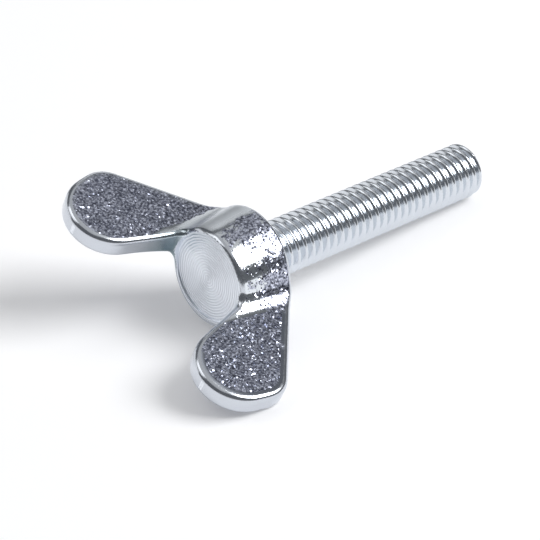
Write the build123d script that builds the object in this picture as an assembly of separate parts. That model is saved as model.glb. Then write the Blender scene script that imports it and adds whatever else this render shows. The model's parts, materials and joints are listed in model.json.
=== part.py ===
"""Wing screw M6 x 30: a forged and turned head with two wings, and a threaded shank.

The screw is one piece of zinc-plated steel. It is modelled along its own axis first: +X runs from
the head to the thread's tip, X = 0 is the bearing face under the head, and the wings spread along
Y with their flat sides facing up and down. The finished screw is then turned to the attitude that
it takes when it lies on a table, on the rim of the hub's foot, one wing and the thread's tip.
The origin is on the table, below the middle of the screw. Sizes are in millimetres.
"""
import os
from math import acos, atan2, ceil, cos, degrees, floor, hypot, pi, radians, sin, tan

from build123d import *

# Threaded shank: M6 x 1, right-hand
THREAD_DIAMETER = 5.8
THREAD_LENGTH = 30.0
THREAD_PITCH = 1.0
CREST_WIDTH = 0.13
ROOT_WIDTH = 0.17
FLANK_ANGLE = 30.0
TIP_CHAMFER = 0.6
PLAIN_NECK = 0.3
THREAD_START_ANGLE = 137.0

# Hub: a cone that leans a little in the forging, with its foot at the bearing face
HUB_HEIGHT = 6.0
HUB_FOOT_DIAMETER = 11.5
HUB_END_DIAMETER = 10.4
HUB_END_SINK = 0.33
FACED_DIAMETER = 9.3
FACING_DEPTH = 0.15

# Wings: an ear with a round lobe, a tighter back corner and a root beside the hub's foot.
# Each inset is how far an arc's centre lies within the wing's tip, and each overhang is how far
# it lies beyond the hub's end.
WING_SPAN = 30.8
WING_THICKNESS = 2.25
WING_RISE = 0.24
LOBE_RADIUS = 4.55
LOBE_INSET = 4.75
LOBE_OVERHANG = 4.85
CORNER_RADIUS = 3.15
CORNER_OVERHANG = 3.9
ROOT_RADIUS = 2.5
ROOT_FROM_AXIS = 4.65
NECK_RADIUS = 1.1
NECK_FROM_AXIS = 3.8

# Forged transitions
BLEND_RADIUS = 2.6
RIM_ROUNDING = 0.6


def belt(circles):
    """A face whose outline runs round a loop of circles (x, y, radius) and is tangent to each.

    It passes outside a circle with a positive radius, and inside one with a negative radius.
    """
    headings = []
    for (x1, y1, r1), (x2, y2, r2) in zip(circles, circles[1:] + circles[:1]):
        headings.append(atan2(y2 - y1, x2 - x1) - acos((r1 - r2) / hypot(x2 - x1, y2 - y1)))
    arcs = []
    for index, (x, y, radius) in enumerate(circles):
        start = headings[index - 1]
        turn = (headings[index] - start) % (2 * pi)
        if radius < 0:
            turn -= 2 * pi
        angles = (start, start + turn / 2, start + turn)
        arcs.append(Edge.make_three_point_arc(*[(x + radius * cos(a), y + radius * sin(a)) for a in angles]))
    lines = [Edge.make_line(arc @ 1, after @ 0) for arc, after in zip(arcs, arcs[1:] + arcs[:1])]
    return Face(Wire(arcs + lines))


def head_outline():
    """Both wings with the hub between them, seen along the wings' flat sides."""
    lobe = (-HUB_HEIGHT - LOBE_OVERHANG, WING_SPAN / 2 - LOBE_INSET, LOBE_RADIUS)
    corner = (-HUB_HEIGHT - CORNER_OVERHANG, WING_SPAN / 2 - CORNER_RADIUS, CORNER_RADIUS)
    root = (-ROOT_RADIUS, ROOT_FROM_AXIS, ROOT_RADIUS)
    neck = (-HUB_HEIGHT - FACING_DEPTH - NECK_RADIUS, NECK_FROM_AXIS, -NECK_RADIUS)
    one_side = [root, corner, lobe, neck]
    other_side = [(x, -y, radius) for x, y, radius in reversed(one_side)]
    return belt(one_side + other_side)


def hub_section(x):
    """The hub's round section at x. Its radius and its centre both shift evenly along the hub."""
    radius = (HUB_FOOT_DIAMETER + (HUB_FOOT_DIAMETER - HUB_END_DIAMETER) * x / HUB_HEIGHT) / 2
    return Pos(x, 0, HUB_END_SINK * x / HUB_HEIGHT) * Rot(0, 90, 0) * Circle(radius)


def hub_and_bar():
    """The hub's cone crossed by the bar that the wings are cut from, blended where they meet."""
    lead = WING_THICKNESS
    reach = HUB_HEIGHT + LOBE_OVERHANG + LOBE_RADIUS
    length = lead + reach
    cone = loft([hub_section(lead), hub_section(-reach)], ruled=True)
    bar = Box(length, 2 * WING_SPAN, WING_THICKNESS, align=(Align.MAX, Align.CENTER, Align.CENTER))
    body = cone + Pos(lead, 0, WING_RISE) * bar
    seams = [edge for edge in body.edges() if edge.bounding_box().size.X > 0.9 * length
             and abs(edge.center().Y) < WING_SPAN / 2 and abs(edge.center().Z - WING_RISE) < WING_THICKNESS]
    return fillet(seams, BLEND_RADIUS)


def head():
    """The forged head with rounded rims, faced off round the axis at the hub's end."""
    blank = hub_and_bar() & extrude(head_outline(), WING_SPAN, dir=(0, 0, 1), both=True)
    walls = [face for face in blank.faces() if abs(face.normal_at().Z) < 0.01]
    rims = [edge for wall in walls for edge in wall.edges() if edge.bounding_box().size.Z < 1e-3
            or edge.bounding_box().size.Y > 1e-3]
    blank = fillet(rims, RIM_ROUNDING)
    facing = Cylinder(FACED_DIAMETER / 2, HUB_HEIGHT, align=(Align.CENTER, Align.CENTER, Align.MIN))
    return blank - Pos(-HUB_HEIGHT, 0, 0) * Rot(0, -90, 0) * facing


def thread_turn():
    """One pitch of the thread, from X = 0 to X = pitch: a disc with the groove wound through it.

    The disc is turned a quarter so that its seam doesn't meet the groove's own.
    """
    crest = THREAD_DIAMETER / 2
    flank = (THREAD_PITCH - CREST_WIDTH - ROOT_WIDTH) / 2
    root = crest - flank / tan(radians(FLANK_ANGLE))
    proud = CREST_WIDTH / 2
    mouth = ROOT_WIDTH / 2 + flank + proud * tan(radians(FLANK_ANGLE))
    notch = Polygon((root, -ROOT_WIDTH / 2), (crest + proud, -mouth), (crest + proud, mouth),
                    (root, ROOT_WIDTH / 2), align=None)
    start = (0, 0, -THREAD_PITCH / 2)
    route = Helix(THREAD_PITCH, 2 * THREAD_PITCH, root, center=start)
    groove = sweep(Pos(start) * Rot(90, 0, 0) * notch, path=route, is_frenet=True)
    disc = Rot(0, 0, 90) * Cylinder(crest, THREAD_PITCH, align=(Align.CENTER, Align.CENTER, Align.MIN))
    return Rot(0, 90, 0) * Rot(0, 0, THREAD_START_ANGLE) * (disc - groove)


def shank():
    """A short plain neck and the thread's turns stacked on it, cut off with a chamfered tip."""
    along = (Align.CENTER, Align.CENTER, Align.MIN)
    turn = thread_turn()
    count = ceil((THREAD_LENGTH - PLAIN_NECK) / THREAD_PITCH)
    neck = Rot(0, 90, 0) * Cylinder(THREAD_DIAMETER / 2, PLAIN_NECK, align=along)
    thread = neck.fuse(*[Pos(PLAIN_NECK + index * THREAD_PITCH, 0, 0) * turn for index in range(count)])
    cutter = Cylinder(THREAD_DIAMETER, TIP_CHAMFER + THREAD_PITCH, align=along)
    cutter -= Cone(THREAD_DIAMETER / 2, THREAD_DIAMETER / 2 - TIP_CHAMFER, TIP_CHAMFER, align=along)
    return thread - Pos(THREAD_LENGTH - TIP_CHAMFER, 0, 0) * Rot(0, 90, 0) * cutter


def last_crest(roll):
    """Where the thread's last whole crest ends, along the side that faces down at this roll."""
    start = PLAIN_NECK - THREAD_PITCH * (roll + radians(THREAD_START_ANGLE)) / (2 * pi)
    whole_turns = floor((THREAD_LENGTH - TIP_CHAMFER - CREST_WIDTH / 2 - start) / THREAD_PITCH)
    return start + whole_turns * THREAD_PITCH + CREST_WIDTH / 2


def contact_depths(pitch, roll):
    """How far down the foot rim, the lower wing and the thread's tip reach at one attitude."""
    down = Vector(sin(pitch), -sin(roll) * cos(pitch), -cos(roll) * cos(pitch))

    def depth(centre, normal, radius, rounding=0.0):
        """How low a ring reaches: centre, square axis, radius and the rounding round its rim."""
        return down.dot(Vector(centre)) + radius * down.cross(Vector(normal)).length + rounding

    shrink = (HUB_FOOT_DIAMETER - HUB_END_DIAMETER) / 2 - HUB_END_SINK * cos(roll)
    flare = atan2(shrink, HUB_HEIGHT)
    foot_radius = HUB_FOOT_DIAMETER / 2 - RIM_ROUNDING * tan(pi / 4 + flare / 2)
    foot = depth((-RIM_ROUNDING, 0, 0), (1, 0, 0), foot_radius, RIM_ROUNDING)

    wing_z = WING_RISE - WING_THICKNESS / 2 + RIM_ROUNDING
    lobe_centre = (-HUB_HEIGHT - LOBE_OVERHANG, LOBE_INSET - WING_SPAN / 2, wing_z)
    corner_centre = (-HUB_HEIGHT - CORNER_OVERHANG, CORNER_RADIUS - WING_SPAN / 2, wing_z)
    lobe = depth(lobe_centre, (0, 0, 1), LOBE_RADIUS - RIM_ROUNDING, RIM_ROUNDING)
    corner = depth(corner_centre, (0, 0, 1), CORNER_RADIUS - RIM_ROUNDING, RIM_ROUNDING)

    tip = depth((last_crest(roll), 0, 0), (1, 0, 0), THREAD_DIAMETER / 2)
    return foot, max(lobe, corner), tip


def rest_angles():
    """The pitch and roll, in radians, at which foot rim, lower wing and tip are equally low."""
    pitch, roll = 0.0, 0.0
    for _ in range(100):
        foot, wing, tip = contact_depths(pitch, roll)
        pitch += (foot - tip) / THREAD_LENGTH
        roll += (foot - wing) / (WING_SPAN / 2)
    return pitch, roll


pitch, roll = rest_angles()
screw = head() + shank()
screw = Rot(0, degrees(pitch), 0) * Rot(degrees(roll), 0, 0) * screw
box = screw.bounding_box()
screw = Pos(-box.center().X, -box.center().Y, -box.min.Z) * screw
print(f"rests at pitch {degrees(pitch):.2f}, roll {degrees(roll):.2f} degrees; volume {screw.volume:.1f}")
os.makedirs("parts", exist_ok=True)
export_step(screw, "parts/wing_screw.step")
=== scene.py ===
"""Wing screw lying on a pale studio floor: the forged head, the rolled thread, lamps and camera.

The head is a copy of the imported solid's head, split into finishes by what made each face. The
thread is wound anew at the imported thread's diameter and pitch, in finer steps and with its crest
and root rounded. Lengths are in metres in Blender and in millimetres in the size fields, which are
along the screw's own axes: +X from the head to the tip, X = 0 at the bearing face, the wings along
Y and their flat sides facing Z.
"""
import json
import logging
from dataclasses import dataclass, field
from enum import Enum
from math import cos, pi, radians, sin
from typing import Sequence

import bmesh
import bpy
from mathutils import Euler, Matrix, Vector


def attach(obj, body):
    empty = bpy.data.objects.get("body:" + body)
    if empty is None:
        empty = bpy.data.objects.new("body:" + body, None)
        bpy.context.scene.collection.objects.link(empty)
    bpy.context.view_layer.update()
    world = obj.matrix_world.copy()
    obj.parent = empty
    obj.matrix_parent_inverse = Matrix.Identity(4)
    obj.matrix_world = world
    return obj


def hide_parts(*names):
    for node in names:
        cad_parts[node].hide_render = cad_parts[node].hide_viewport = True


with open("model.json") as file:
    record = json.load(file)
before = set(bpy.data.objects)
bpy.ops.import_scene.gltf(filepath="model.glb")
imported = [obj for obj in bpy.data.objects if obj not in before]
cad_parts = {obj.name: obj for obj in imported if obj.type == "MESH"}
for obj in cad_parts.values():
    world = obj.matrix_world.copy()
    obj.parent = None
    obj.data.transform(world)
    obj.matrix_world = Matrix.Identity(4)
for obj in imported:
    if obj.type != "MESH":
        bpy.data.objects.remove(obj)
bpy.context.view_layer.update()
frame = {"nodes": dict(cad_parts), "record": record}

LOG = logging.getLogger("wing_screw")
MM = 0.001
BODY = "root"
NODE = "wing_screw"
HUB_HEIGHT = 6.0
WELD_DISTANCE = 1e-4
CUT_TOLERANCE = 1e-5
MID_COLOUR = (0.5, 0.5, 0.5)
WHITE = (1.0, 1.0, 1.0, 1.0)
ACROSS_THE_AXIS = (0.0, 1.0, 1.0)

Colour = tuple[float, float, float]
Band = tuple[float, float]
Socket = bpy.types.NodeSocket
Number = Socket | float
Triple = Socket | Sequence[float]


@dataclass(frozen=True)
class ScrewPose:
    """Where the screw lies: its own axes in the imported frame.

    The bearing face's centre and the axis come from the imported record, the roll is the part's own.
    """

    roll: float = radians(22.75)

    def mount(self, name: str) -> dict:
        """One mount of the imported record, by its name."""
        return next(m for m in frame["record"]["mounts"] if m["name"] == name)

    def axis(self) -> Vector:
        """The unit vector from the head to the tip."""
        return Vector(self.mount("thread")["axis"]).normalized()

    def origin(self) -> Vector:
        """The centre of the bearing face, in metres."""
        thread = self.mount("thread")
        return Vector(thread["pos_m"]) - self.axis() * thread["dims"]["length_mm"] * MM / 2

    def turn(self) -> Euler:
        """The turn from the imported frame's axes to the screw's own.

        Returns:
            The roll round the screw's axis, then the pitch. The screw has no yaw.
        """
        axis = self.axis()
        pitch = Vector((1, 0, 0)).angle(axis) * (1 if axis.z < 0 else -1)
        return Euler((self.roll, pitch, 0.0), "XYZ")

    def matrix(self) -> Matrix:
        """From millimetres along the screw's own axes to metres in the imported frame."""
        turn = self.turn().to_matrix().to_4x4()
        return Matrix.Translation(self.origin()) @ turn @ Matrix.Scale(MM, 4)


POSE = ScrewPose()


class NodeSheet:
    """A short way to lay out one material's nodes."""

    def __init__(self, name: str) -> None:
        """Starts a new node material.

        Args:
            name: the material's name.
        """
        self.material = bpy.data.materials.new(name)
        self.material.use_nodes = True
        self.tree = self.material.node_tree
        self.shader = self.tree.nodes["Principled BSDF"]

    def add(self, kind: str, inputs: dict[str | int, Number | Triple] | None = None,
            **settings: str) -> bpy.types.Node:
        """Adds a node.

        Args:
            kind: the node's type without the ShaderNode prefix.
            inputs: values or sockets for its inputs, by name or number.
            settings: the node's own settings.

        Returns:
            The new node.
        """
        node = self.tree.nodes.new("ShaderNode" + kind)
        for key, value in settings.items():
            setattr(node, key, value)
        for key, value in (inputs or {}).items():
            if isinstance(value, Socket):
                self.tree.links.new(value, node.inputs[key])
            else:
                node.inputs[key].default_value = value
        return node

    def math(self, operation: str, first: Number, second: Number = 0.0,
             third: Number = 0.0) -> Socket:
        """The result of a Math node with this operation."""
        return self.add("Math", {0: first, 1: second, 2: third}, operation=operation).outputs[0]

    def vector(self, operation: str, first: Triple, second: Triple = (0.0, 0.0, 0.0),
               scale: Number = 1.0) -> Socket:
        """A Vector Math node's result.

        Args:
            operation: the node's operation.
            first: the first vector.
            second: the second vector, for the operations that take two.
            scale: the factor, for the operation SCALE.

        Returns:
            The number for LENGTH and DISTANCE, and otherwise the vector.
        """
        node = self.add("VectorMath", {0: first, 1: second, 3: scale}, operation=operation)
        return node.outputs["Value" if operation in ("LENGTH", "DISTANCE") else "Vector"]

    def remap(self, value: Number, source: Band = (0.0, 1.0), target: Band = (0.0, 1.0)) -> Socket:
        """A number taken from one range to another and kept within it.

        Args:
            value: the number.
            source: the range that it comes from.
            target: what the ends of that range become.

        Returns:
            The result's socket.
        """
        return self.add("MapRange", {0: value, 1: source[0], 2: source[1], 3: target[0],
                                     4: target[1]}).outputs[0]

    def noise(self, place: Socket, scale: float, detail: float) -> Socket:
        """The level of a three-dimensional noise."""
        return self.add("TexNoise", {"Vector": place, "Scale": scale, "Detail": detail}).outputs[0]

    def mix(self, factor: Number, first: Triple, second: Triple) -> Socket:
        """A blend of two colours with four channels: the first at factor 0, the second at 1."""
        return self.add("Mix", {"Factor": factor, 6: first, 7: second}, data_type="RGBA").outputs[2]

    def ramp(self, value: Number, band: Band, low: Colour, high: Colour) -> Socket:
        """A colour that goes with a number.

        Args:
            value: the number, from 0 to 1.
            band: where the ramp starts and ends.
            low: the colour up to the start.
            high: the colour from the end on.

        Returns:
            The colour's socket.
        """
        node = self.add("ValToRGB", {0: value})
        for element, place, colour in zip(node.color_ramp.elements, band, (low, high)):
            element.position = place
            element.color = (*colour, 1.0)
        return node.outputs[0]

    def screw_place(self) -> Socket:
        """The place along the screw's own axes, in millimetres.

        Returns:
            The place's socket.
        """
        place = self.add("TexCoord").outputs["Object"]
        inputs = {"Vector": place, "Location": POSE.origin(), "Rotation": POSE.turn(),
                  "Scale": (MM, MM, MM)}
        return self.add("Mapping", inputs, vector_type="TEXTURE").outputs[0]

    def link(self, socket: Socket, name: str) -> None:
        """Feeds a socket into the shader's input of this name."""
        self.tree.links.new(socket, self.shader.inputs[name])

    def fix(self, **values: float | Sequence[float]) -> None:
        """Sets shader inputs that are the same all over, named with underscores for spaces."""
        for name, value in values.items():
            self.shader.inputs[name.replace("_", " ")].default_value = value


@dataclass(frozen=True)
class ZincFinish:
    """What every zinc-plated surface shares: a pale bluish metal."""

    name: str
    tint: Colour = (0.71, 0.745, 0.79)
    roughness: float = 0.18

    def sheet(self) -> NodeSheet:
        """The bare metal, before its texture.

        Returns:
            The sheet to lay the texture on.
        """
        sheet = NodeSheet(self.name)
        sheet.fix(Metallic=1.0, Base_Color=(*self.tint, 1.0), Roughness=self.roughness)
        return sheet

    def material(self) -> bpy.types.Material:
        """The finished material."""
        return self.sheet().material


@dataclass(frozen=True)
class SparklingZinc(ZincFinish):
    """The grainy zinc crystals on the forged faces, which can be worn smooth in patches.

    Attributes:
        dark: the colour of the hollows between crystals.
        grain: a crystal's width.
        mottle_ratio: a crystal's width over a hollow's.
        mottle_detail: how finely the hollows are broken up.
        mottle_band: the levels at which the ground is wholly dark and wholly tinted.
        tilt: how far the boldest crystals lean.
        rarity: how few crystals lean far.
        worn: the colour of the worn patches.
        worn_roughness: the roughness of the worn patches.
        worn_share: the level up to which the surface is worn. At 0 it is grainy all over.
        patch_size: how wide the patches are.
        patch_seed: which pattern they follow.
        patch_detail: how finely their outline is broken up.
        patch_raggedness: how much the fine detail counts.
        patch_edge: half the band of levels that a patch's edge takes.
        end_wear: how much more worn the hub is at its turned end than in the middle.
        side_painted_light: how far the raised side is painted pale and smooth, as painted light.
        side_dulling: how much rougher it is there.
        side_band: where along Y the raised side starts.
        root_band: where along Y that painted light ends, at the raised wing's root.
        root_relief: how much more grainy it is beyond that.
    """

    tint: Colour = (0.71, 0.74, 0.87)
    roughness: float = 0.21
    dark: Colour = (0.15, 0.165, 0.225)
    grain: float = 0.19
    mottle_ratio: float = 0.8
    mottle_detail: float = 3.0
    mottle_band: Band = (0.38, 0.64)
    tilt: float = 1.75
    rarity: float = 3.3
    worn: Colour = (0.76, 0.80, 0.84)
    worn_roughness: float = 0.11
    worn_share: float = 0.0
    patch_size: float = 1.6
    patch_seed: float = 0.0
    patch_detail: float = 5.0
    patch_raggedness: float = 0.7
    patch_edge: float = 0.02
    end_wear: float = 0.10
    # Painted light: the raised side is painted pale and smooth where its light falls evenly.
    side_painted_light: float = 0.25
    side_dulling: float = 0.24
    side_band: Band = (1.5, 3.1)
    root_band: Band = (5.4, 6.6)
    root_relief: float = 0.5

    def painted_light_by_side(self, sheet: NodeSheet, across: Socket) -> Socket:
        """Painted light: the raised side made pale and smooth, up to that wing's root.

        Args:
            sheet: the material's sheet.
            across: the place along Y.

        Returns:
            The painted light's share to add, which is below 0 beyond the root.
        """
        side = sheet.remap(across, self.side_band, (0.0, min(self.worn_share, self.side_painted_light)))
        root = sheet.remap(across, self.root_band, (0.0, self.root_relief))
        return sheet.math("SUBTRACT", side, root)

    def grain_cover(self, sheet: NodeSheet, place: Socket, along: Socket,
                    side_painted_light: Socket) -> Socket:
        """Where the crystals stand.

        Args:
            sheet: the material's sheet.
            place: the place along the screw's own axes.
            along: the place along X.
            side_painted_light: the pale smoothness painted onto the raised side for its light.

        Returns:
            1 where grainy, 0 where worn and where the raised side is painted pale for its light.
        """
        inputs = {"Vector": place, "W": self.patch_seed, "Scale": 1.0 / self.patch_size,
                  "Detail": self.patch_detail, "Roughness": self.patch_raggedness}
        level = sheet.add("TexNoise", inputs, noise_dimensions="4D").outputs[0]
        by_end = sheet.remap(along, (-HUB_HEIGHT, 0.0), (-self.end_wear, self.end_wear))
        level = sheet.math("SUBTRACT", sheet.math("ADD", level, by_end), side_painted_light)
        edge = (self.worn_share - self.patch_edge, self.worn_share + self.patch_edge)
        return sheet.remap(level, edge)

    def tipped_normal(self, sheet: NodeSheet, place: Socket, cover: Socket) -> Socket:
        """The normal of each crystal: most lie nearly flat and a few lean far.

        Args:
            sheet: the material's sheet.
            place: the place along the screw's own axes.
            cover: 1 where the crystals stand and 0 where they are worn.

        Returns:
            The normal's socket.
        """
        cells = sheet.add("TexVoronoi", {"Vector": place, "Scale": 1.0 / self.grain}, feature="F1")
        cell = cells.outputs["Color"]
        pick = sheet.add("SeparateXYZ", {0: cell}).outputs[2]
        reach = sheet.math("MULTIPLY", sheet.math("POWER", pick, self.rarity), self.tilt)
        reach = sheet.math("MULTIPLY", reach, cover)
        lean = sheet.vector("SCALE", sheet.vector("SUBTRACT", cell, MID_COLOUR), scale=reach)
        normal = sheet.add("NewGeometry").outputs["Normal"]
        return sheet.vector("NORMALIZE", sheet.vector("ADD", normal, lean))

    def material(self) -> bpy.types.Material:
        """Small tipped crystals over a mottled dark ground, and the worn patches.

        Returns:
            The finished material.
        """
        sheet = self.sheet()
        place = sheet.screw_place()
        axes = sheet.add("SeparateXYZ", {0: place}).outputs
        # Painted light: the raised side is painted pale and smooth where its light falls evenly.
        side_painted_light = self.painted_light_by_side(sheet, axes[1])
        cover = self.grain_cover(sheet, place, axes[0], side_painted_light)
        gloss = sheet.remap(cover, target=(self.worn_roughness, self.roughness))
        dulled = sheet.remap(side_painted_light, (0.0, self.side_painted_light), (0.0, self.side_dulling))
        sheet.link(sheet.math("ADD", gloss, dulled), "Roughness")
        mottle = sheet.noise(place, self.mottle_ratio / self.grain, self.mottle_detail)
        ground = sheet.ramp(mottle, self.mottle_band, self.dark, self.tint)
        sheet.link(sheet.mix(cover, (*self.worn, 1.0), ground), "Base Color")
        sheet.link(self.tipped_normal(sheet, place, cover), "Normal")
        return sheet.material


@dataclass(frozen=True)
class SmoothZinc(ZincFinish):
    """The rims, side walls and thread: tumbled smooth, darker and greener round one wing's root.

    Attributes:
        uneven_scale: how closely the unevenness of the gloss is spaced.
        uneven_detail: how finely it is broken up.
        uneven_gloss: what it takes from the roughness, and what it adds.
        root_darkening: the darker greenish colour round the raised wing's root.
        root_darkening_place: the middle of that darker patch.
        root_darkening_core: how far round the middle it is at its full share.
        root_darkening_reach: how far it reaches.
        root_darkening_raggedness: how far its outline strays.
        root_darkening_share: how much of the colour is the darker patch's in the middle.
    """

    uneven_scale: float = 2.5
    uneven_detail: float = 4.0
    uneven_gloss: Band = (-0.05, 0.06)
    # A darker greenish patch round the raised wing's root.
    root_darkening: Colour = (0.22, 0.32, 0.35)
    root_darkening_place: tuple[float, float, float] = (-6.9, 5.0, -0.3)
    root_darkening_core: float = 1.2
    root_darkening_reach: float = 4.4
    root_darkening_raggedness: float = 1.2
    root_darkening_share: float = 0.8

    def material(self) -> bpy.types.Material:
        """Nearly smooth, with a faint unevenness in its gloss.

        Returns:
            The finished material.
        """
        sheet = self.sheet()
        place = sheet.screw_place()
        uneven = sheet.noise(place, self.uneven_scale, self.uneven_detail)
        # Darker and greener round the raised wing's root.
        away = sheet.vector("DISTANCE", place, self.root_darkening_place)
        away = sheet.math("MULTIPLY_ADD", uneven, self.root_darkening_raggedness, away)
        darkened = sheet.remap(away, (self.root_darkening_core, self.root_darkening_reach), (self.root_darkening_share, 0.0))
        sheet.link(sheet.mix(darkened, (*self.tint, 1.0), (*self.root_darkening, 1.0)), "Base Color")
        low, high = self.uneven_gloss
        gloss = sheet.remap(uneven, target=(self.roughness + low, self.roughness + high))
        sheet.link(gloss, "Roughness")
        return sheet.material


@dataclass(frozen=True)
class TurnedZinc(ZincFinish):
    """The faced end of the hub, with the lathe tool's rings.

    Attributes:
        ring_pitch: how far apart the rings are.
        ring_centre: their common centre.
        depth: how deep they are.
        ring_painted_shade: how much darker the rings' hollows are painted, as painted shade.
        wobble: how far a ring strays from round.
        wobble_scale: how closely its waves are spaced.
        wobble_detail: how finely they are broken up.
    """

    tint: Colour = (0.90, 0.94, 1.0)
    roughness: float = 0.30
    ring_pitch: float = 0.29
    ring_centre: tuple[float, float, float] = (0.0, -0.05, -0.4)
    depth: float = 0.016
    ring_painted_shade: float = 0.11
    wobble: float = 0.2
    wobble_scale: float = 1.2
    wobble_detail: float = 3.0

    def material(self) -> bpy.types.Material:
        """Rings round the screw's axis, blurred by the plating.

        Returns:
            The finished material.
        """
        sheet = self.sheet()
        place = sheet.screw_place()
        from_centre = sheet.vector("SUBTRACT", place, self.ring_centre)
        radius = sheet.vector("LENGTH", sheet.vector("MULTIPLY", from_centre, ACROSS_THE_AXIS))
        noise = sheet.noise(place, self.wobble_scale, self.wobble_detail)
        radius = sheet.math("ADD", radius, sheet.math("MULTIPLY", noise, self.wobble))
        wave = sheet.math("SINE", sheet.math("MULTIPLY", radius, 2 * pi / self.ring_pitch))
        bump = sheet.add("Bump", {"Height": wave, "Distance": self.depth * MM, "Strength": 1.0})
        sheet.link(bump.outputs[0], "Normal")
        # Painted shade: the rings' hollows are painted darker than their crests.
        painted_hollow_colour = tuple(c * (1.0 - self.ring_painted_shade) for c in self.tint)
        crest = sheet.math("MULTIPLY_ADD", wave, 0.5, 0.5)
        sheet.link(sheet.ramp(crest, (0.0, 1.0), painted_hollow_colour, self.tint), "Base Color")
        return sheet.material


class Finish(Enum):
    """The finishes of the head's faces, in the order of their material slots."""

    SPARKLING = 0
    PATCHY = 1
    SMOOTH = 2
    TURNED = 3
    MARGIN = 4


FINISHES = {
    Finish.SPARKLING: SparklingZinc("zinc_sparkling"),
    Finish.PATCHY: SparklingZinc("zinc_patchy", worn_share=0.46, patch_seed=4.0,
                                 dark=(0.11, 0.12, 0.16)),
    Finish.SMOOTH: SmoothZinc("zinc_smooth", tint=(0.63, 0.66, 0.71)),
    Finish.TURNED: TurnedZinc("zinc_turned"),
    Finish.MARGIN: SparklingZinc("zinc_margin", worn_share=0.52, dark=(0.3, 0.32, 0.37),
                                 worn=(0.62, 0.66, 0.74)),
}


def cut_off(bm: bmesh.types.BMesh, place: float, heading: int) -> None:
    """Cuts away all that lies beyond a plane square to the screw's axis.

    Args:
        bm: the mesh along the screw's own axes.
        place: where the plane crosses the axis.
        heading: 1 to cut away the side of the tip, -1 to cut away the side of the head.
    """
    bmesh.ops.bisect_plane(bm, geom=bm.verts[:] + bm.edges[:] + bm.faces[:], dist=CUT_TOLERANCE,
                           plane_co=(place, 0, 0), plane_no=(heading, 0, 0), clear_outer=True)


def close_up(bm: bmesh.types.BMesh) -> None:
    """Caps what a cut has left open, and turns every face outward and shades it smooth.

    Args:
        bm: the mesh.
    """
    bmesh.ops.holes_fill(bm, edges=[e for e in bm.edges if e.is_boundary], sides=0)
    bmesh.ops.recalc_face_normals(bm, faces=bm.faces)
    for face in bm.faces:
        face.smooth = True


def set_down(bm: bmesh.types.BMesh, mesh: bpy.types.Mesh, crease_angle: float) -> None:
    """Sharpens the creases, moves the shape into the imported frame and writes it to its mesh.

    Args:
        bm: the shape along the screw's own axes, which is freed.
        mesh: the mesh that it becomes.
        crease_angle: the angle between two faces from which their edge is sharp.
    """
    for edge in bm.edges:
        edge.smooth = edge.calc_face_angle(0.0) < crease_angle
    bmesh.ops.transform(bm, matrix=POSE.matrix(), verts=bm.verts)
    bm.to_mesh(mesh)
    bm.free()


def keep_piece(mesh: bpy.types.Mesh, name: str) -> bpy.types.Object:
    """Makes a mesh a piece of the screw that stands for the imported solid.

    Args:
        mesh: the finished mesh.
        name: the piece's name.

    Returns:
        The piece's object.
    """
    piece = bpy.data.objects.new(name, mesh)
    bpy.context.scene.collection.objects.link(piece)
    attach(piece, BODY)
    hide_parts(NODE)
    return piece


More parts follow.
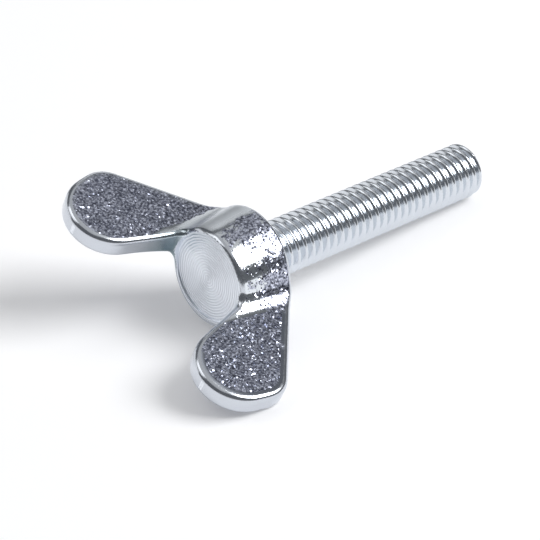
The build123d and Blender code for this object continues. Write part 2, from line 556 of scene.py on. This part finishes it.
@dataclass
class ForgedHead:
    """The hub and its two wings.

    Attributes:
        stub: how much of the shank is left on the hub, inside the threaded piece.
        end_radius: how far from the axis the hub's turned end reaches.
        end_tolerance: how far short of the hub's height a turned face may lie.
        square_limit: the normal's part along X from which a face is square to the axis.
        wing_start: how far from the axis a wing's own faces start.
        flat_limit: the normal's part along Z from which a face is a wing's flat.
        flank_limit: the normal's part along X up to which a face is the hub's flank.
        inward_limit: how far such a normal may face the axis.
        margin: the width of the smoother margin along each flat.
        margin_start: how far from the axis the margins start.
        crease_angle: the angle between two faces from which their edge is sharp.
    """

    stub: float = 0.02
    end_radius: float = 4.7
    end_tolerance: float = 0.01
    square_limit: float = 0.999
    wing_start: float = 7.6
    flat_limit: float = 0.9995
    flank_limit: float = 0.17
    inward_limit: float = -0.02
    margin: float = 0.35
    margin_start: float = 8.1
    crease_angle: float = radians(30)

    def finish_of(self, centre: Vector, normal: Vector) -> Finish:
        """Which finish a face has.

        Args:
            centre: the face's middle along the screw's axes.
            normal: its normal along the screw's axes.

        Returns:
            The finish.
        """
        beyond_hub = centre.x < self.end_tolerance - HUB_HEIGHT
        if abs(normal.x) > self.square_limit or (beyond_hub and centre.yz.length < self.end_radius):
            return Finish.TURNED
        if abs(centre.y) > self.wing_start:
            return Finish.SPARKLING if abs(normal.z) > self.flat_limit else Finish.SMOOTH
        outward = normal.y * (1 if centre.y > 0 else -1)
        flank = abs(normal.x) < self.flank_limit and outward > self.inward_limit
        return Finish.PATCHY if flank else Finish.SMOOTH

    def lay_margins(self, bm: bmesh.types.BMesh) -> None:
        """Gives each wing's flats a smoother margin along the rim.

        Args:
            bm: the head along the screw's axes, with its finishes set.
        """
        for across in (1, -1):
            for up in (1, -1):
                flat = [f for f in bm.faces if f.material_index == Finish.SPARKLING.value
                        and f.normal.z * up > 0 and f.calc_center_median().y * across > 0]
                flat = bmesh.ops.dissolve_faces(bm, faces=flat, use_verts=False)["region"]
                ring = bmesh.ops.inset_region(bm, faces=flat, thickness=self.margin,
                                              use_boundary=True, use_even_offset=True)["faces"]
                for face in ring:
                    if abs(face.calc_center_median().y) > self.margin_start:
                        face.material_index = Finish.MARGIN.value

    def build(self) -> bpy.types.Object:
        """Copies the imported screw, cuts off its shank and sorts the head's faces by finish.

        Returns:
            The head's object.
        """
        mesh = frame["nodes"][NODE].data.copy()
        mesh.materials.clear()
        bm = bmesh.new()
        bm.from_mesh(mesh)
        bmesh.ops.transform(bm, matrix=POSE.matrix().inverted(), verts=bm.verts)
        bmesh.ops.remove_doubles(bm, verts=bm.verts, dist=WELD_DISTANCE)
        cut_off(bm, self.stub, 1)
        close_up(bm)
        for face in bm.faces:
            face.material_index = self.finish_of(face.calc_center_median(), face.normal).value
        self.lay_margins(bm)
        set_down(bm, mesh, self.crease_angle)
        for finish in Finish:
            mesh.materials.append(FINISHES[finish].material())
        piece = keep_piece(mesh, "forged_head")
        weighted = piece.modifiers.new("even_normals", "WEIGHTED_NORMAL")
        weighted.keep_sharp = True
        return piece


@dataclass
class RolledThread:
    """The helical thread, M6 x 1, right-hand.

    Attributes:
        half_profile: the outline from the middle of the root to that of the crest, as shares of
            the pitch along the axis and of the thread's depth across it.
        overlap: how far the piece reaches into the head.
        start_angle: where round the axis the thread starts.
        steps: how many steps one turn is wound in.
        lead_turns: how many turns are wound before the bearing face, and then cut off.
        spare_turns: how many more turns than the shank's length are wound in all, at least.
        crease_angle: the angle between two faces from which their edge is sharp.
    """

    crest_radius: float = 2.9
    root_radius: float = 2.29
    pitch: float = 1.0
    length: float = 29.998
    half_profile: tuple[Band, ...] = ((0.0, 0.06), (0.05, 0.10), (0.11, 0.25), (0.27, 0.74),
                                      (0.33, 0.88), (0.40, 0.965), (0.5, 1.0))
    overlap: float = 0.3
    tip_chamfer: float = 0.6
    start_angle: float = radians(29.0)
    steps: int = 72
    lead_turns: int = 2
    spare_turns: int = 4
    crease_angle: float = radians(50)
    finish: ZincFinish = field(default_factory=lambda: SmoothZinc("zinc_thread", roughness=0.17))

    def profile(self) -> list[tuple[float, float]]:
        """One pitch of the thread's outline, from root to root.

        Returns:
            Places along the axis, each with its radius.
        """
        depth = self.crest_radius - self.root_radius
        back = [(1.0 - along, rise) for along, rise in reversed(self.half_profile[:-1])]
        return [(along * self.pitch, self.root_radius + rise * depth)
                for along, rise in [*self.half_profile, *back]]

    def wind(self, bm: bmesh.types.BMesh) -> None:
        """Winds one turn of the profile, then doubles the turns until there are enough.

        Args:
            bm: the empty mesh that takes the turns.
        """
        start = (-self.lead_turns - self.start_angle / (2 * pi)) * self.pitch
        verts = [bm.verts.new((start + along, 0.0, radius)) for along, radius in self.profile()]
        edges = [bm.edges.new(pair) for pair in zip(verts, verts[1:])]
        bmesh.ops.spin(bm, geom=verts + edges, cent=(0, 0, 0), axis=(1, 0, 0), angle=2 * pi,
                       steps=self.steps, dvec=(self.pitch / self.steps, 0, 0))
        turns = 1
        while turns < self.length / self.pitch + self.spare_turns:
            geometry = bm.verts[:] + bm.edges[:] + bm.faces[:]
            copy = bmesh.ops.duplicate(bm, geom=geometry)["geom"]
            moved = [item for item in copy if isinstance(item, bmesh.types.BMVert)]
            bmesh.ops.translate(bm, verts=moved, vec=(turns * self.pitch, 0, 0))
            turns *= 2
        bmesh.ops.remove_doubles(bm, verts=bm.verts, dist=WELD_DISTANCE)

    def chamfer(self, bm: bmesh.types.BMesh) -> None:
        """Draws in the thread towards the tip, by as much as it is near the end.

        Args:
            bm: the thread, cut to its length.
        """
        for vert in bm.verts:
            limit = self.crest_radius - max(0.0, vert.co.x - self.length + self.tip_chamfer)
            radius = vert.co.yz.length
            if radius > limit:
                vert.co.y *= limit / radius
                vert.co.z *= limit / radius

    def build(self) -> bpy.types.Object:
        """Winds the thread, cuts both ends square and chamfers the tip.

        Returns:
            The threaded shank's object.
        """
        bm = bmesh.new()
        self.wind(bm)
        cut_off(bm, -self.overlap, -1)
        cut_off(bm, self.length, 1)
        self.chamfer(bm)
        close_up(bm)
        mesh = bpy.data.meshes.new("threaded_shank")
        set_down(bm, mesh, self.crease_angle)
        mesh.materials.append(self.finish.material())
        return keep_piece(mesh, "threaded_shank")


@dataclass(frozen=True)
class Lamp:
    """A soft lamp that faces the origin, with its angles in degrees and its lengths in metres.

    Attributes:
        brightness: the light of each part of it, whatever its size.
    """

    name: str
    azimuth: float
    elevation: float
    width: float
    height: float
    brightness: float
    distance: float = 1.0

    def hang(self) -> None:
        """Hangs the lamp in its place."""
        light = bpy.data.lights.new(self.name, "AREA")
        light.shape = "RECTANGLE"
        light.size, light.size_y = self.width, self.height
        light.energy = self.brightness * pi * self.width * self.height
        hung = bpy.data.objects.new(self.name, light)
        bpy.context.scene.collection.objects.link(hung)
        a, e = radians(self.azimuth), radians(self.elevation)
        hung.location = Vector((cos(e) * cos(a), cos(e) * sin(a), sin(e))) * self.distance
        hung.rotation_euler = (-hung.location).to_track_quat("-Z", "Y").to_euler()


LAMPS = (
    Lamp("side_softbox", -47.0, 45.0, 0.56, 0.54, 9.2),
    Lamp("ceiling", 0.0, 86.0, 1.6, 1.6, 0.4, 1.2),
    Lamp("left_card", 112.0, 13.0, 1.0, 0.45, 0.85),
    Lamp("left_wall", 137.0, 52.0, 0.6, 0.65, 1.1),
    Lamp("back_card", 40.0, 22.0, 0.7, 0.6, 0.6),
)


@dataclass
class Studio:
    """A pale floor, soft lamps and the camera, with lengths in metres.

    Attributes:
        lift: the floor's own glow to the eye and in mirrors, which lights nothing.
        dusk: the brightness of the dim room round the lamps.
        lens: the focal length, in millimetres like the sensor's width.
    """

    floor_radius: float = 1.5
    floor_segments: int = 96
    floor_colour: Colour = (0.86, 0.86, 0.87)
    floor_roughness: float = 0.9
    floor_specular: float = 0.1
    lift: float = 0.17
    dusk: float = 0.145
    dusk_colour: Colour = (0.9, 0.94, 1.0)
    camera_place: tuple[float, float, float] = (-0.16707, -0.18654, 0.17315)
    camera_aim: tuple[float, float, float] = (-0.00782, -0.00301, 0.006)
    camera_roll: float = radians(-1.913)
    camera_clip: float = 0.01
    sensor_width: float = 36.0
    lens: float = 199.2

    def paper(self) -> bpy.types.Material:
        """The floor's matt paper.

        Returns:
            The finished material.
        """
        sheet = NodeSheet("floor_paper")
        sheet.fix(Base_Color=(*self.floor_colour, 1.0), Roughness=self.floor_roughness,
                  Specular_IOR_Level=self.floor_specular, Emission_Color=WHITE)
        rays = sheet.add("LightPath").outputs
        mirrored = sheet.math("MAXIMUM", rays["Is Glossy Ray"], rays["Is Transmission Ray"])
        seen = sheet.math("MAXIMUM", rays["Is Camera Ray"], mirrored)
        sheet.link(sheet.math("MULTIPLY", seen, self.lift), "Emission Strength")
        return sheet.material

    def lay_floor(self) -> None:
        """Lays the floor that the screw lies on."""
        bm = bmesh.new()
        bmesh.ops.create_circle(bm, cap_ends=True, segments=self.floor_segments,
                                radius=self.floor_radius)
        mesh = bpy.data.meshes.new("studio_floor")
        bm.to_mesh(mesh)
        bm.free()
        mesh.materials.append(self.paper())
        floor = bpy.data.objects.new("studio_floor", mesh)
        bpy.context.scene.collection.objects.link(floor)

    def light(self) -> None:
        """Sets the dim room and hangs the lamps."""
        world = bpy.data.worlds.new("studio")
        world.use_nodes = True
        room = world.node_tree.nodes["Background"].inputs
        room["Color"].default_value = (*self.dusk_colour, 1.0)
        room["Strength"].default_value = self.dusk
        bpy.context.scene.world = world
        for lamp in LAMPS:
            lamp.hang()

    def place_camera(self) -> None:
        """Sets up the camera, at the screw's near left, looking down along it."""
        scene = bpy.context.scene
        camera = bpy.data.objects.new("camera", bpy.data.cameras.new("camera"))
        scene.collection.objects.link(camera)
        camera.data.sensor_width = self.sensor_width
        camera.data.lens = self.lens
        camera.data.clip_start = self.camera_clip
        place, aim = Vector(self.camera_place), Vector(self.camera_aim)
        turn = (aim - place).to_track_quat("-Z", "Y").to_matrix().to_4x4()
        roll = Matrix.Rotation(self.camera_roll, 4, "Z")
        camera.matrix_world = Matrix.Translation(place) @ turn @ roll
        scene.camera = camera
        scene.view_settings.view_transform = "Standard"


def main() -> None:
    """Builds the screw and its studio."""
    logging.basicConfig(level=logging.INFO)
    for part in (ForgedHead(), RolledThread()):
        piece = part.build()
        LOG.info("%s: %d faces", piece.name, len(piece.data.polygons))
    studio = Studio()
    studio.lay_floor()
    studio.light()
    studio.place_camera()


if __name__ == "__main__":
    main()
